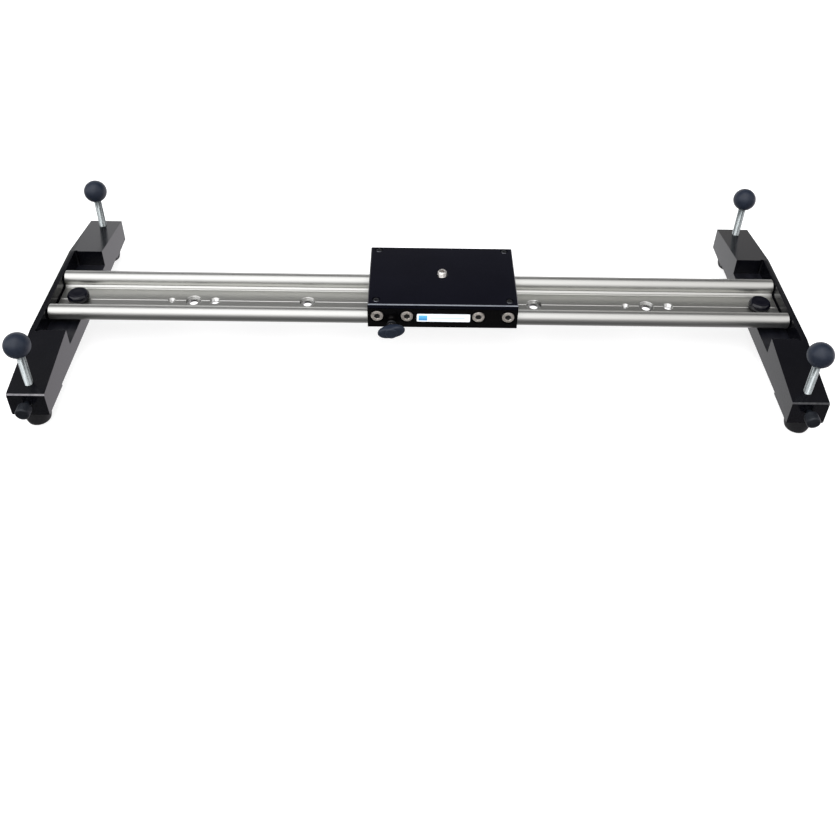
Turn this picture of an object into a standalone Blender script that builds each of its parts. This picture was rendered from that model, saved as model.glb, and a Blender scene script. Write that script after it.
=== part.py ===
"""Camera slider: a twin-tube rail on two levelling end legs, with a lockable carriage.

Frame: +X along the rail, -Y the front (label and lock side), +Z up.
The origin is on the surface the feet stand on, under the middle of the rail.
All constants are in millimetres; meshes are written in metres.
"""
import math
import bpy
import bmesh
from mathutils import Matrix, Vector

MM = 0.001
GAP = 0.3                     # clearance kept between neighbouring solids

# ---------------------------------------------------------------- dimensions
TUBE_Z = 50.4                 # height of the guide tube axes
RAIL_L = 760.0                # rail length
TUBE_R = 8.0                  # guide tube radius (16 mm shaft)
TUBE_Y = 29.0                 # half of the 58 mm tube spacing
WEB_TOP = -6.24               # web top, from the tube axis
WEB_FLAT = 18.4               # half width of the flat web
RAIL_BOTTOM = -11.2           # rail underside
RAIL_SEAT = 0.4               # the underside is stepped up by this much where it sits in the leg pockets
BASE_HALF = 27.0              # half width of the rail base
HOLE_PITCH = 120.0            # fixing hole pitch
HOLE_R = 4.6                  # fixing hole
CBORE_R = 8.0                 # its counterbore
CBORE_DEPTH = 2.2
TRIPOD_HOLES = ((-262.9, 3.18), (-217.4, 4.6), (217.5, 3.18), (263.1, 4.6))

LEG_X0, LEG_X1 = 351.4, 387.1     # inner and outer face of a leg
LEG_Y = 147.4                     # half length of a leg
LEG_BOTTOM = -30.6
LEG_TOP, LEG_END_TOP = 7.5, -4.8  # top at the pocket and at the ends
POCKET_Y = 67.6                   # half length of the rail pocket
POCKET_FLOOR = -11.1
UNDER_Y, UNDER_RISE = 107.0, 2.3   # middle of the leg's underside is stepped up
POCKET_X1 = 381.4                 # inside of the outer wall
CLAMP_X = 360.0                   # clamp bolt position
CLAMP_R = 3.0                     # M6 bolt

FOOT_X = 369.6                    # levelling rod position
FOOT_Y = {-1: 132.8, 1: 135.2}    # front and rear rows, distance from the rail's middle
ROD_R = 4.0                       # M8 rod
BALL_R = 12.4                     # ball knob
BALL_Z = {"front_left": 43.3, "rear_left": 42.9, "front_right": 43.0, "rear_right": 44.4}
PAD_TOP = LEG_BOTTOM - 0.6        # top of the rubber foot
PAD_R = 12.5
THUMB_Z = -16.0                   # thumb screw axis
THUMB_R, THUMB_LEN, THUMB_OUT = 6.8, 10.5, 5.2
THUMB_SHANK_R = 3.0

CAR_X = 21.7                      # carriage centre at rest
CAR_HALF_L, CAR_HALF_W = 75.5, 50.0
PLATE_SHIFT = 1.6                 # stud and corner screws sit this far behind the middle of the plate
CAR_TOP, CAR_BOTTOM = 31.1, 2.35
PLATE_T = 5.3
BAR_T = 10.0
SCREW_Z = 15.6                    # side screws
SCREW_X = (-66.0, -36.0, 36.0, 66.0)
SCREW_HEAD_R, SCREW_HEAD_H, SCREW_CBORE_R = 6.3, 3.5, 7.4
CORNER_X, CORNER_Y = 67.0, 43.2
BLOCK_L, BLOCK_X = 47.0, 51.2
LINER_IN, LINER_OUT = 8.25, 9.4
STUD_R, STUD_OUT = 4.76, 4.6
LOCK_X, LOCK_Z = -51.4, 6.6       # lock screw axis, from carriage centre
LOCK_R = 3.5
KNOB_Y0, KNOB_Y1 = -56.6, -67.0
ORIGIN_Y = 7.85                   # the whole is moved back by this, so that the origin is under the middle of its box

# ---------------------------------------------------------------- clear scene
for o in list(bpy.data.objects):
    bpy.data.objects.remove(o, do_unlink=True)
for m in list(bpy.data.meshes):
    bpy.data.meshes.remove(m)

SCENE = bpy.context.scene.collection


def material(name, rgb, rough, metal):
    mat = bpy.data.materials.new(name)
    mat.use_nodes = True
    p = mat.node_tree.nodes["Principled BSDF"]
    p.inputs["Base Color"].default_value = (*rgb, 1.0)
    p.inputs["Roughness"].default_value = rough
    p.inputs["Metallic"].default_value = metal
    mat.diffuse_color = (*rgb, 1.0)
    return mat


ANOD_SILVER = ("satin anodised silver", (0.74, 0.73, 0.71), 0.32, 1.0)
ANOD_BLACK = ("black anodised", (0.03, 0.03, 0.036), 0.38, 0.6)
ZINC = ("bright zinc", (0.72, 0.74, 0.76), 0.25, 1.0)
CHARCOAL = ("charcoal plastic", (0.06, 0.06, 0.07), 0.55, 0.0)
GLOSS_BLACK = ("gloss black plastic", (0.012, 0.012, 0.018), 0.12, 0.0)
BLACK_STEEL = ("black oxide steel", (0.05, 0.055, 0.06), 0.4, 0.8)
RUBBER = ("black rubber", (0.035, 0.035, 0.04), 0.7, 0.0)
NICKEL = ("nickel plated steel", (0.68, 0.66, 0.62), 0.28, 1.0)
POLYMER = ("bearing polymer", (0.75, 0.68, 0.42), 0.5, 0.0)
BRASS = ("brass", (0.75, 0.58, 0.26), 0.3, 1.0)
LABEL = ("pale label", (0.85, 0.87, 0.9), 0.35, 0.0)
NYLON = ("natural nylon", (0.8, 0.79, 0.74), 0.5, 0.0)


# ---------------------------------------------------------------- mesh helpers
def loft(bm, rings, close=True):
    """Bridge equal rings of points and cap both ends."""
    rows = [[bm.verts.new(p) for p in ring] for ring in rings]
    n = len(rows[0])
    for a, b in zip(rows, rows[1:]):
        for i in range(n):
            j = (i + 1) % n
            bm.faces.new((a[i], a[j], b[j], b[i]))
    if close:
        bm.faces.new(list(reversed(rows[0])))
        bm.faces.new(rows[-1])
    return rows


def add_prism(bm, pts, axis, lo, hi):
    """Extrude a closed outline along one axis. pts are (y, z) for X, (x, z) for Y, (x, y) for Z."""
    def place(p, t):
        if axis == "X":
            return (t, p[0], p[1])
        if axis == "Y":
            return (p[0], t, p[1])
        return (p[0], p[1], t)
    loft(bm, [[place(p, lo) for p in pts], [place(p, hi) for p in pts]])


def add_box(bm, x0, x1, y0, y1, z0, z1):
    add_prism(bm, [(y0, z0), (y1, z0), (y1, z1), (y0, z1)], "X", x0, x1)


def add_lathe(bm, profile, centre, axis="Z", segs=16, phase=0.0):
    """Solid of revolution. profile is (radius, height) points; a zero radius ends on the axis."""
    def place(r, h, a):
        u, v = r * math.cos(a), r * math.sin(a)
        if axis == "Z":
            p = (u, v, h)
        elif axis == "Y":
            p = (u, h, v)
        else:
            p = (h, u, v)
        return tuple(c + q for c, q in zip(centre, p))
    rows = []
    for r, h in profile:
        if r < 1e-6:
            rows.append([bm.verts.new(place(0, h, 0))])
        else:
            rows.append([bm.verts.new(place(r, h, phase + 2 * math.pi * i / segs)) for i in range(segs)])
    closed = len(rows[0]) > 1 and len(rows[-1]) > 1 and profile[0] != profile[-1] and getattr(add_lathe, "ring", False)
    pairs = list(zip(rows, rows[1:]))
    if closed:
        pairs.append((rows[-1], rows[0]))
    for a, b in pairs:
        for i in range(segs):
            j = (i + 1) % segs
            if len(a) == 1 and len(b) == 1:
                break
            if len(a) == 1:
                bm.faces.new((a[0], b[j], b[i]))
            elif len(b) == 1:
                bm.faces.new((a[i], a[j], b[0]))
            else:
                bm.faces.new((a[i], a[j], b[j], b[i]))
    if not closed:
        if len(rows[0]) > 1:
            bm.faces.new(list(reversed(rows[0])))
        if len(rows[-1]) > 1:
            bm.faces.new(rows[-1])


def add_ring(bm, profile, centre, axis="Z", segs=16):
    """Ring of revolution from a closed (radius, height) outline that stays off the axis."""
    add_lathe.ring = True
    add_lathe(bm, profile, centre, axis, segs)
    add_lathe.ring = False


def add_cyl(bm, centre, axis, r, lo, hi, segs=16, phase=0.0):
    add_lathe(bm, [(r, lo), (r, hi)], centre, axis, segs, phase)


def hexagon(af, cx=0.0, cy=0.0, turn=0.0):
    r = af / math.sqrt(3)
    return [(cx + r * math.cos(turn + math.pi * i / 3), cy + r * math.sin(turn + math.pi * i / 3)) for i in range(6)]


def finish(bm, name, origin=(0, 0, 0), mat=None, smooth=True):
    """Turn a bmesh in world millimetres into an object whose origin is at the given point."""
    bmesh.ops.recalc_face_normals(bm, faces=bm.faces)
    o = Vector(origin)
    bmesh.ops.transform(bm, matrix=Matrix.Scale(MM, 4) @ Matrix.Translation(-o), verts=bm.verts)
    me = bpy.data.meshes.new(name)
    bm.to_mesh(me)
    bm.free()
    if smooth:
        me.shade_smooth()
        me.set_sharp_from_angle(angle=math.radians(32))
    ob = bpy.data.objects.new(name, me)
    ob.location = o * MM
    SCENE.objects.link(ob)
    if mat is not None:
        me.materials.append(material(name + "_material", mat[1], mat[2], mat[3]))
    return ob


def cut(ob, bm, tag="cut"):
    """Subtract the closed bodies in bm (world millimetres) from ob."""
    c = finish(bm, "cutter_%s_%s" % (ob.name, tag), smooth=False)
    c.hide_render = True
    c.display_type = "WIRE"
    m = ob.modifiers.new(tag, "BOOLEAN")
    m.operation = "DIFFERENCE"
    m.solver = "EXACT"
    m.object = c
    return c


def arc(cx, cy, r, a0, a1, n):
    """Points on an arc, angles in degrees, both ends included."""
    return [(cx + r * math.cos(math.radians(a0 + (a1 - a0) * i / n)),
             cy + r * math.sin(math.radians(a0 + (a1 - a0) * i / n))) for i in range(n + 1)]


def mirror_y(pts):
    return [(-y, z) for y, z in reversed(pts)]


T = TUBE_Z


# ---------------------------------------------------------------- rail
def build_rail():
    # right half outline, from the underside round the tube to the groove in the web
    half = [(BASE_HALF, RAIL_BOTTOM)]
    a_out = -math.degrees(math.acos((BASE_HALF - TUBE_Y) / TUBE_R))
    a_in = 215.0
    half += [(BASE_HALF, TUBE_R * math.sin(math.radians(a_out)))]
    half += arc(TUBE_Y, 0.0, TUBE_R, -97.0, 209.0, 24)
    half += arc(TUBE_Y, 0.0, TUBE_R, a_in, a_in, 1)[:1]
    end = half[-1]
    # concave fillet from the tube down to the flat web
    for i in range(1, 4):
        t = i / 4.0
        y = end[0] + (WEB_FLAT - end[0]) * t
        z = WEB_TOP + (end[1] - WEB_TOP) * (1 - t) ** 2.4
        half.append((y, z))
    half += [(WEB_FLAT, WEB_TOP), (0.35, WEB_TOP), (0.0, WEB_TOP - 0.35)]
    left = mirror_y(half[:-1])
    outline = [(y, z + T) for y, z in half + left]
    bm = bmesh.new()
    add_prism(bm, outline, "X", -RAIL_L / 2, RAIL_L / 2)
    ob = finish(bm, "rail", (0, 0, T), ANOD_SILVER)
    holes = bmesh.new()
    n = int((RAIL_L / 2 - 1) // HOLE_PITCH)
    for i in range(-n, n + 1):
        x = i * HOLE_PITCH
        top = T + WEB_TOP
        prof = [(HOLE_R, T + RAIL_BOTTOM - 2), (HOLE_R, top - CBORE_DEPTH), (CBORE_R, top - CBORE_DEPTH), (CBORE_R, top + 2)]
        if abs(i) == n:
            prof = [(HOLE_R, T + RAIL_BOTTOM - 2), (HOLE_R, top + 2)]
        add_lathe(holes, prof, (x, 0, 0), "Z", 18)
    for x, r in TRIPOD_HOLES:
        add_lathe(holes, [(r, T + RAIL_BOTTOM - 2), (r, T + WEB_TOP - 0.7), (r + 0.75, T + WEB_TOP + 0.05), (r + 0.75, T + WEB_TOP + 2)],
                  (x, 0, 0), "Z", 14)
    cut(ob, holes, "holes")
    seats = bmesh.new()
    for k in (-1, 1):
        lo, hi = sorted((k * (LEG_X0 - 0.8), k * (RAIL_L / 2 + 2)))
        add_box(seats, lo, hi, -BASE_HALF - 2, BASE_HALF + 2, T + RAIL_BOTTOM - 1, T + RAIL_BOTTOM + RAIL_SEAT)
    cut(ob, seats, "end_seats")
    return ob


# ---------------------------------------------------------------- legs
def build_leg(side, name):
    s = 1 if side > 0 else -1
    def xs(a, b):
        return (a, b) if s > 0 else (-b, -a)
    c = 1.2
    slope = (LEG_TOP - LEG_END_TOP) / (LEG_Y - POCKET_Y)
    out = [(-LEG_Y, LEG_BOTTOM), (LEG_Y, LEG_BOTTOM), (LEG_Y, LEG_END_TOP),
           (POCKET_Y, LEG_TOP), (-POCKET_Y, LEG_TOP), (-(LEG_Y - c), LEG_END_TOP + slope * c), (-LEG_Y, LEG_END_TOP - c)]
    bm = bmesh.new()
    x0, x1 = xs(LEG_X0, LEG_X1)
    add_prism(bm, [(y, z + T) for y, z in out], "X", x0, x1)
    ob = finish(bm, name, (s * LEG_X0, 0, T), ANOD_BLACK)
    # rail pocket: open towards the rail and upwards, with corner reliefs at the outer wall
    pk = bmesh.new()
    x0, x1 = xs(LEG_X0 - 5, POCKET_X1)
    add_box(pk, x0, x1, -POCKET_Y, POCKET_Y, T + POCKET_FLOOR, T + LEG_TOP + 5)
    cut(ob, pk, "pocket")
    rl = bmesh.new()
    for y in (-POCKET_Y, POCKET_Y):
        add_cyl(rl, (s * (POCKET_X1 - 1.4), y - math.copysign(0.2, y), 0), "Z", 2.2, T + POCKET_FLOOR + 0.4, T + LEG_TOP + 5, 12)
    cut(ob, rl, "corner_reliefs")
    # levelling rod holes, clamp bolt hole and thumb screw holes
    h = bmesh.new()
    for y in (-FOOT_Y[-1], FOOT_Y[1]):
        add_cyl(h, (s * FOOT_X, y, 0), "Z", ROD_R + 0.4, T + LEG_BOTTOM - 3, T + LEG_TOP + 3, 14)
    add_cyl(h, (s * CLAMP_X, 0, 0), "Z", CLAMP_R + 0.4, T + POCKET_FLOOR - 14.0, T + POCKET_FLOOR + 3, 12)
    cut(ob, h, "vertical_holes")
    t = bmesh.new()
    add_cyl(t, (s * FOOT_X, 0, T + THUMB_Z), "Y", THUMB_SHANK_R + 0.4, -LEG_Y - 3, -FOOT_Y[-1] - ROD_R + 1.0, 12)
    cut(ob, t, "thumb_screw_hole")
    # chamfer on the outer bottom edge
    ch = bmesh.new()
    e = s * LEG_X1
    pts = [(e - s * 1.6, T + LEG_BOTTOM - 0.5), (e + s * 0.5, T + LEG_BOTTOM + 1.6), (e + s * 0.5, T + LEG_BOTTOM - 0.5)]
    add_prism(ch, pts, "Y", -LEG_Y - 2, LEG_Y + 2)
    cut(ob, ch, "outer_chamfer")
    # the underside is stepped up between the two foot blocks
    un = bmesh.new()
    x0, x1 = xs(LEG_X0 - 3, LEG_X1 + 3)
    add_box(un, x0, x1, -UNDER_Y, UNDER_Y, T + LEG_BOTTOM - 3, T + LEG_BOTTOM + UNDER_RISE)
    cut(ob, un, "underside_step")
    return ob


# ---------------------------------------------------------------- end clamps
def build_clamp(s, tag):
    x = s * CLAMP_X
    w0 = T + WEB_TOP + GAP
    bm = bmesh.new()
    add_ring(bm, [(CLAMP_R + GAP, w0), (9.0, w0), (9.0, w0 + 1.0), (CLAMP_R + GAP, w0 + 1.0)], (x, 0, 0), "Z", 16)
    washer = finish(bm, "clamp_washer_" + tag, (x, 0, w0), BLACK_STEEL)
    k0 = w0 + 1.0 + GAP
    k1 = T + 3.0
    bm = bmesh.new()
    # two-step cap: skirt and narrower crowned top, with grip flats round the skirt
    prof = [(CLAMP_R + GAP, k0), (10.3, k0), (11.2, k0 + 0.9), (11.2, k1 - 3.6), (10.6, k1 - 2.2), (9.6, k1 - 0.5), (0.0, k1),
            ]
    add_lathe(bm, [(0.0, k0 + 4.5), (CLAMP_R + GAP, k0 + 4.5)] + prof, (x, 0, 0), "Z", 18)
    knob = finish(bm, "clamp_knob_" + tag, (x, 0, k0), GLOSS_BLACK)
    bm = bmesh.new()
    add_cyl(bm, (x, 0, 0), "Z", CLAMP_R, T + POCKET_FLOOR - 12.0, k0 + 4.2, 12)
    bolt = finish(bm, "clamp_bolt_" + tag, (x, 0, k0), BLACK_STEEL)
    return washer, knob, bolt


# ---------------------------------------------------------------- feet
def build_foot(sx, sy, tag):
    x, y = sx * FOOT_X, sy * FOOT_Y[sy]
    top = T + PAD_TOP
    # rubber foot: a bulging pad with a blind socket for the rod end
    prof = [(0.0, 0.0), (8.0, 0.0), (9.6, 1.0), (11.8, 5.0), (PAD_R, 9.8), (PAD_R, 12.4), (11.6, 16.8), (9.2, top)]
    prof += [(ROD_R + 0.4, top), (ROD_R + 0.4, 9.0), (0.0, 9.0)]
    bm = bmesh.new()
    add_lathe(bm, prof, (x, y, 0), "Z", 18)
    pad = finish(bm, "foot_pad_" + tag, (x, y, 0), RUBBER)
    # levelling rod
    b = T + BALL_Z[tag]
    bm = bmesh.new()
    add_lathe(bm, [(0.0, 9.3), (3.3, 9.3), (ROD_R, 10.2), (ROD_R, b - 2.3), (3.3, b - 1.5), (0.0, b - 1.5)], (x, y, 0), "Z", 14)
    rod = finish(bm, "levelling_rod_" + tag, (x, y, 9.3), ZINC)
    # ball knob with a flat at the rod side and a blind socket
    n = 7
    a0 = math.radians(-62)
    prof = [(0.0, b - 1.2), (ROD_R + 0.4, b - 1.2), (ROD_R + 0.4, b + BALL_R * math.sin(a0))]
    for i in range(n + 1):
        a = a0 + (math.pi / 2 - a0) * i / n
        prof.append((max(0.0, BALL_R * math.cos(a)) if i < n else 0.0, b + BALL_R * math.sin(a)))
    bm = bmesh.new()
    add_lathe(bm, prof, (x, y, 0), "Z", 18)
    ball = finish(bm, "ball_knob_" + tag, (x, y, b), CHARCOAL)
    if sy > 0:
        return
    # thumb screw in the front end face of the leg, with a soft tip that bears on the rod
    z = T + THUMB_Z
    e = sy * LEG_Y
    r0 = sy * (FOOT_Y[sy] + ROD_R + GAP)
    bm = bmesh.new()
    lo, hi = sorted((r0, r0 + sy * 2.4))
    add_cyl(bm, (x, 0, z), "Y", THUMB_SHANK_R - 0.2, lo, hi, 10)
    tip = finish(bm, "thumb_screw_tip_" + tag, (x, r0, z), NYLON)
    s0 = r0 + sy * 2.7
    k0 = e + sy * THUMB_OUT
    k1 = k0 + sy * THUMB_LEN
    prof = [(0.0, s0), (THUMB_SHANK_R, s0), (THUMB_SHANK_R, k0), (5.6, k0), (THUMB_R, k0 + sy * 1.2), (THUMB_R, k1 - sy * 1.4), (5.5, k1), (0.0, k1)]
    bm = bmesh.new()
    add_lathe(bm, prof, (x, 0, z), "Y", 16)
    thumb = finish(bm, "thumb_screw_" + tag, (x, e, z), BLACK_STEEL)


# ---------------------------------------------------------------- carriage
def build_carriage():
    cx = CAR_X
    top, bot = T + CAR_TOP, T + CAR_BOTTOM
    under = top - PLATE_T
    obs = {}
    # top plate: chamfered upper edge
    c = 0.9
    bm = bmesh.new()
    L, W = CAR_HALF_L, CAR_HALF_W
    def rect(dx, dy, z):
        return [(cx - L + dx, -W + dy, z), (cx + L - dx, -W + dy, z), (cx + L - dx, W - dy, z), (cx - L + dx, W - dy, z)]
    loft(bm, [rect(0, 0, under), rect(0, 0, top - c), rect(c, c, top)])
    plate = finish(bm, "carriage_top_plate", (cx, 0, top), ANOD_BLACK)
    h = bmesh.new()
    add_lathe(h, [(STUD_R + GAP, under - 2), (STUD_R + GAP, top - 0.8), (STUD_R + 1.3, top + 0.2), (STUD_R + 1.3, top + 2)], (cx, PLATE_SHIFT, 0), "Z", 16)
    for sx in (-1, 1):
        for sy in (-1, 1):
            add_lathe(h, [(1.9, under - 2), (1.9, top - 3.2), (4.0, top - 3.2), (4.0, top + 2)],
                      (cx + sx * CORNER_X, sy * CORNER_Y + PLATE_SHIFT, 0), "Z", 12)
    cut(plate, h, "holes")
    obs["plate"] = plate
    # side bars
    for sy, tag in ((-1, "front"), (1, "rear")):
        bm = bmesh.new()
        y0, y1 = sorted((sy * W, sy * (W - BAR_T)))
        add_box(bm, cx - L, cx + L, y0, y1, bot, under - GAP)
        bar = finish(bm, "carriage_%s_bar" % tag, (cx, sy * W, bot), ANOD_BLACK)
        h = bmesh.new()
        for x in SCREW_X:
            f, d, b = sy * (W + 3), sy * (W - SCREW_HEAD_H - 0.35), sy * (W - BAR_T - 3)
            add_lathe(h, [(SCREW_CBORE_R, f), (SCREW_CBORE_R, d), (4.4, d), (4.4, b)], (cx + x, 0, T + SCREW_Z), "Y", 14)
        cut(bar, h, "screw_holes")
        h = bmesh.new()
        for sx in (-1, 1):
            add_cyl(h, (cx + sx * CORNER_X, sy * CORNER_Y + PLATE_SHIFT, 0), "Z", 1.65, T + 20.8, under + 2, 8)
        if sy < 0:
            add_cyl(h, (cx + LOCK_X, 0, T + LOCK_Z), "Y", LOCK_R + 0.4, -W - 3, -W + BAR_T + 3, 14)
        cut(bar, h, "small_holes")
        obs["bar_" + tag] = bar
    # bearing blocks and liners on both tubes
    for sy, row in ((-1, "front"), (1, "rear")):
        for sx, col in ((-1, "left"), (1, "right")):
            x0, x1 = cx + sx * BLOCK_X - BLOCK_L / 2, cx + sx * BLOCK_X + BLOCK_L / 2
            yo, yi = W - BAR_T - GAP, 16.0
            zb = -3.6
            # C-shaped section: bore round the tube, open below and on the outer flank
            r = LINER_OUT + GAP
            a_in = 180 + math.degrees(math.asin(-zb / r))
            a_out = math.degrees(math.asin(5.0 / r))
            sec = [(yi, zb), (yi, CAR_TOP - PLATE_T - GAP), (yo, CAR_TOP - PLATE_T - GAP), (yo, 5.0)]
            sec += arc(TUBE_Y, 0.0, r + 0.1, a_out, a_in, 10)
            pts = [(sy * y, z + T) for y, z in sec]
            bm = bmesh.new()
            add_prism(bm, pts, "X", x0, x1)
            blk = finish(bm, "bearing_block_%s_%s" % (row, col), (cx + sx * BLOCK_X, sy * TUBE_Y, T), ANOD_BLACK)
            h = bmesh.new()
            for x in SCREW_X:
                if x * sx > 0:
                    lo, hi = sorted((sy * (yo + 2), sy * 24.5))
                    add_cyl(h, (cx + x, 0, T + SCREW_Z), "Y", 4.4, lo, hi, 12)
            cut(blk, h, "screw_holes")
            ln = bmesh.new()
            a0, a1 = -38.0, 196.0
            ring = arc(TUBE_Y, 0.0, LINER_IN, a0, a1, 16) + arc(TUBE_Y, 0.0, LINER_OUT, a1, a0, 16)
            pts = [(sy * y, z + T) for y, z in ring]
            add_prism(ln, pts, "X", x0 + 0.5, x1 - 0.5)
            lin = finish(ln, "bearing_liner_%s_%s" % (row, col), (cx + sx * BLOCK_X, sy * TUBE_Y, T), POLYMER)
            if sy < 0 and sx < 0:
                for o2, rr in ((blk, LOCK_R), (lin, LOCK_R)):
                    w = bmesh.new()
                    add_cyl(w, (cx + LOCK_X, 0, T + LOCK_Z), "Y", rr, -TUBE_Y - 14, -TUBE_Y - 0.4, 12)
                    cut(o2, w, "lock_window")
    # side screws: low heads with hex sockets
    for sy, tag in ((-1, "front"), (1, "rear")):
        f = sy * (W - 0.1)
        for i, x in enumerate(SCREW_X):
            bm = bmesh.new()
            add_lathe(bm, [(0.0, sy * 25.0), (4.0, sy * 25.0), (4.0, sy * (W - SCREW_HEAD_H)), (SCREW_HEAD_R, sy * (W - SCREW_HEAD_H)),
                           (SCREW_HEAD_R, f - sy * 0.7), (SCREW_HEAD_R - 0.7, f), (0.0, f)], (cx + x, 0, T + SCREW_Z), "Y", 14)
            scr = finish(bm, "side_screw_%s_%d" % (tag, i + 1), (cx + x, sy * W, T + SCREW_Z), NICKEL)
            hx = bmesh.new()
            lo, hi = sorted((f - sy * 2.4, f + sy * 3))
            add_prism(hx, hexagon(5.0, cx + x, T + SCREW_Z, 0.3), "Y", lo, hi)
            cut(scr, hx, "hex_socket")
    # corner screws of the top plate
    for sx, col in ((-1, "left"), (1, "right")):
        for sy, row in ((-1, "front"), (1, "rear")):
            x, y = cx + sx * CORNER_X, sy * CORNER_Y + PLATE_SHIFT
            bm = bmesh.new()
            add_lathe(bm, [(0.0, T + 21.2), (1.3, T + 21.2), (1.3, top - 2.9), (3.6, top - 2.9), (3.6, top - 1.1), (2.8, top - 0.4), (0.0, top - 0.4)],
                      (x, y, 0), "Z", 10)
            scr = finish(bm, "top_screw_%s_%s" % (row, col), (x, y, top), BLACK_STEEL)
            hx = bmesh.new()
            add_prism(hx, hexagon(2.5, x, y, 0.4), "Z", top - 1.8, top + 2)
            cut(scr, hx, "hex_socket")
    # camera stud and its jam nut
    bm = bmesh.new()
    tip = top + STUD_OUT
    add_lathe(bm, [(0.0, under - 7.4), (STUD_R - 0.6, under - 7.4), (STUD_R, under - 6.8), (STUD_R, tip - 1.3), (STUD_R - 1.1, tip), (0.0, tip)],
              (cx, PLATE_SHIFT, 0), "Z", 16)
    stud = finish(bm, "camera_stud", (cx, PLATE_SHIFT, top), NICKEL)
    hx = bmesh.new()
    add_prism(hx, hexagon(4.0, cx, PLATE_SHIFT, 0.2), "Z", tip - 3.5, tip + 2)
    cut(stud, hx, "hex_socket")
    bm = bmesh.new()
    add_prism(bm, hexagon(14.3, cx, PLATE_SHIFT), "Z", under - 5.6, under - GAP)
    nut = finish(bm, "camera_stud_nut", (cx, PLATE_SHIFT, under), ZINC, smooth=False)
    h = bmesh.new()
    add_cyl(h, (cx, PLATE_SHIFT, 0), "Z", STUD_R + 0.4, under - 9, under + 2, 16)
    cut(nut, h, "bore")
    # label plate
    bm = bmesh.new()
    r, x0, x1, z0, z1 = 1.2, cx - 26.0, cx + 27.6, T + 10.2, T + 19.8
    pts = arc(x1 - r, z0 + r, r, -90, 0, 3) + arc(x1 - r, z1 - r, r, 0, 90, 3) + arc(x0 + r, z1 - r, r, 90, 180, 3) + arc(x0 + r, z0 + r, r, 180, 270, 3)
    add_prism(bm, pts, "Y", -W - GAP - 0.4, -W - GAP)
    finish(bm, "label_plate", (cx, -W, T + 15), LABEL)
    return obs


def build_lock():
    cx, z, W = CAR_X + LOCK_X, T + LOCK_Z, CAR_HALF_W
    # threaded bush: flange on the face of the front bar
    bm = bmesh.new()
    f = -W - GAP
    add_ring(bm, [(LOCK_R - 0.7, f - 1.6), (LOCK_R + 0.9, f - 1.6), (LOCK_R + 1.3, f - 1.2), (LOCK_R + 1.3, f), (LOCK_R, f), (LOCK_R, -W + BAR_T - 0.3),
                  (LOCK_R - 0.7, -W + BAR_T - 0.3)], (cx, 0, z), "Y", 14)
    finish(bm, "lock_bush", (cx, -W, z), NICKEL)
    # brake pad: its end is hollowed to the tube
    bm = bmesh.new()
    add_cyl(bm, (cx, 0, z), "Y", LOCK_R - 0.7, -38.6, -TUBE_Y - 2.0, 12)
    pad = finish(bm, "brake_pad", (cx, -38.6, z), BRASS)
    tube = bmesh.new()
    n = 24
    ring = [(-TUBE_Y + (TUBE_R + 0.35) * math.cos(2 * math.pi * i / n), T + (TUBE_R + 0.35) * math.sin(2 * math.pi * i / n)) for i in range(n)]
    add_prism(tube, ring, "X", cx - 12, cx + 12)
    cut(pad, tube, "tube_seat")
    # lock screw, from the knob to the pad
    bm = bmesh.new()
    rs = LOCK_R - 1.0
    add_lathe(bm, [(0.0, -38.9), (rs - 0.4, -38.9), (rs, -39.4), (rs, -W - GAP - 1.9), (3.7, -W - GAP - 1.9), (4.1, -W - GAP - 2.5), (4.1, KNOB_Y0 + GAP), (rs, KNOB_Y0 + GAP), (rs, KNOB_Y1 + 4.8), (0.0, KNOB_Y1 + 4.8)], (cx, 0, z), "Y", 12)
    finish(bm, "lock_screw", (cx, -W, z), NICKEL)
    # two-winged knob: sections that swell from a round neck into the wings, then a round hub
    def wing(r_hub, r_tip, y, n=28, turn=math.radians(14)):
        pts = []
        for i in range(n):
            a = 2 * math.pi * i / n
            u, v = abs(math.cos(a - turn)), abs(math.sin(a - turn))
            k = u ** 3.2
            r = r_hub + (r_tip - r_hub) * k * (1.0 - 0.12 * v)
            pts.append((cx + r * math.cos(a), y, z + r * math.sin(a)))
        return pts
    y0, y1 = KNOB_Y0, KNOB_Y1
    bm = bmesh.new()
    rings = [wing(4.4, 4.4, y0), wing(5.6, 7.0, y0 - 1.4), wing(6.2, 10.8, y0 - 2.8), wing(6.5, 13.4, y0 - 4.4), wing(6.6, 14.1, y0 - 6.2), wing(6.6, 13.9, y0 - 7.8),
             wing(6.5, 12.4, y0 - 9.2), wing(6.4, 8.8, y0 - 9.9), wing(6.2, 6.3, y0 - 10.2), wing(5.2, 5.2, y1)]
    loft(bm, rings)
    knob = finish(bm, "lock_knob", (cx, y0, z), CHARCOAL)
    h = bmesh.new()
    add_cyl(h, (cx, 0, z), "Y", rs + 0.4, y0 + 3, y1 + 4.4, 12)
    h2 = cut(knob, h, "socket")
    return knob


build_rail()
build_leg(-1, "leg_left")
build_leg(1, "leg_right")
for s, tag in ((-1, "left"), (1, "right")):
    build_clamp(s, tag)
for sx, col in ((-1, "left"), (1, "right")):
    for sy, row in ((-1, "front"), (1, "rear")):
        build_foot(sx, sy, "%s_%s" % (row, col))
build_carriage()
build_lock()
for o in bpy.data.objects:
    if o.type == "MESH":
        o.location.y += ORIGIN_Y * MM
bpy.context.view_layer.update()
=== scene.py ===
import math
import bpy
import bmesh
from mathutils import Matrix, Vector

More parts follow.
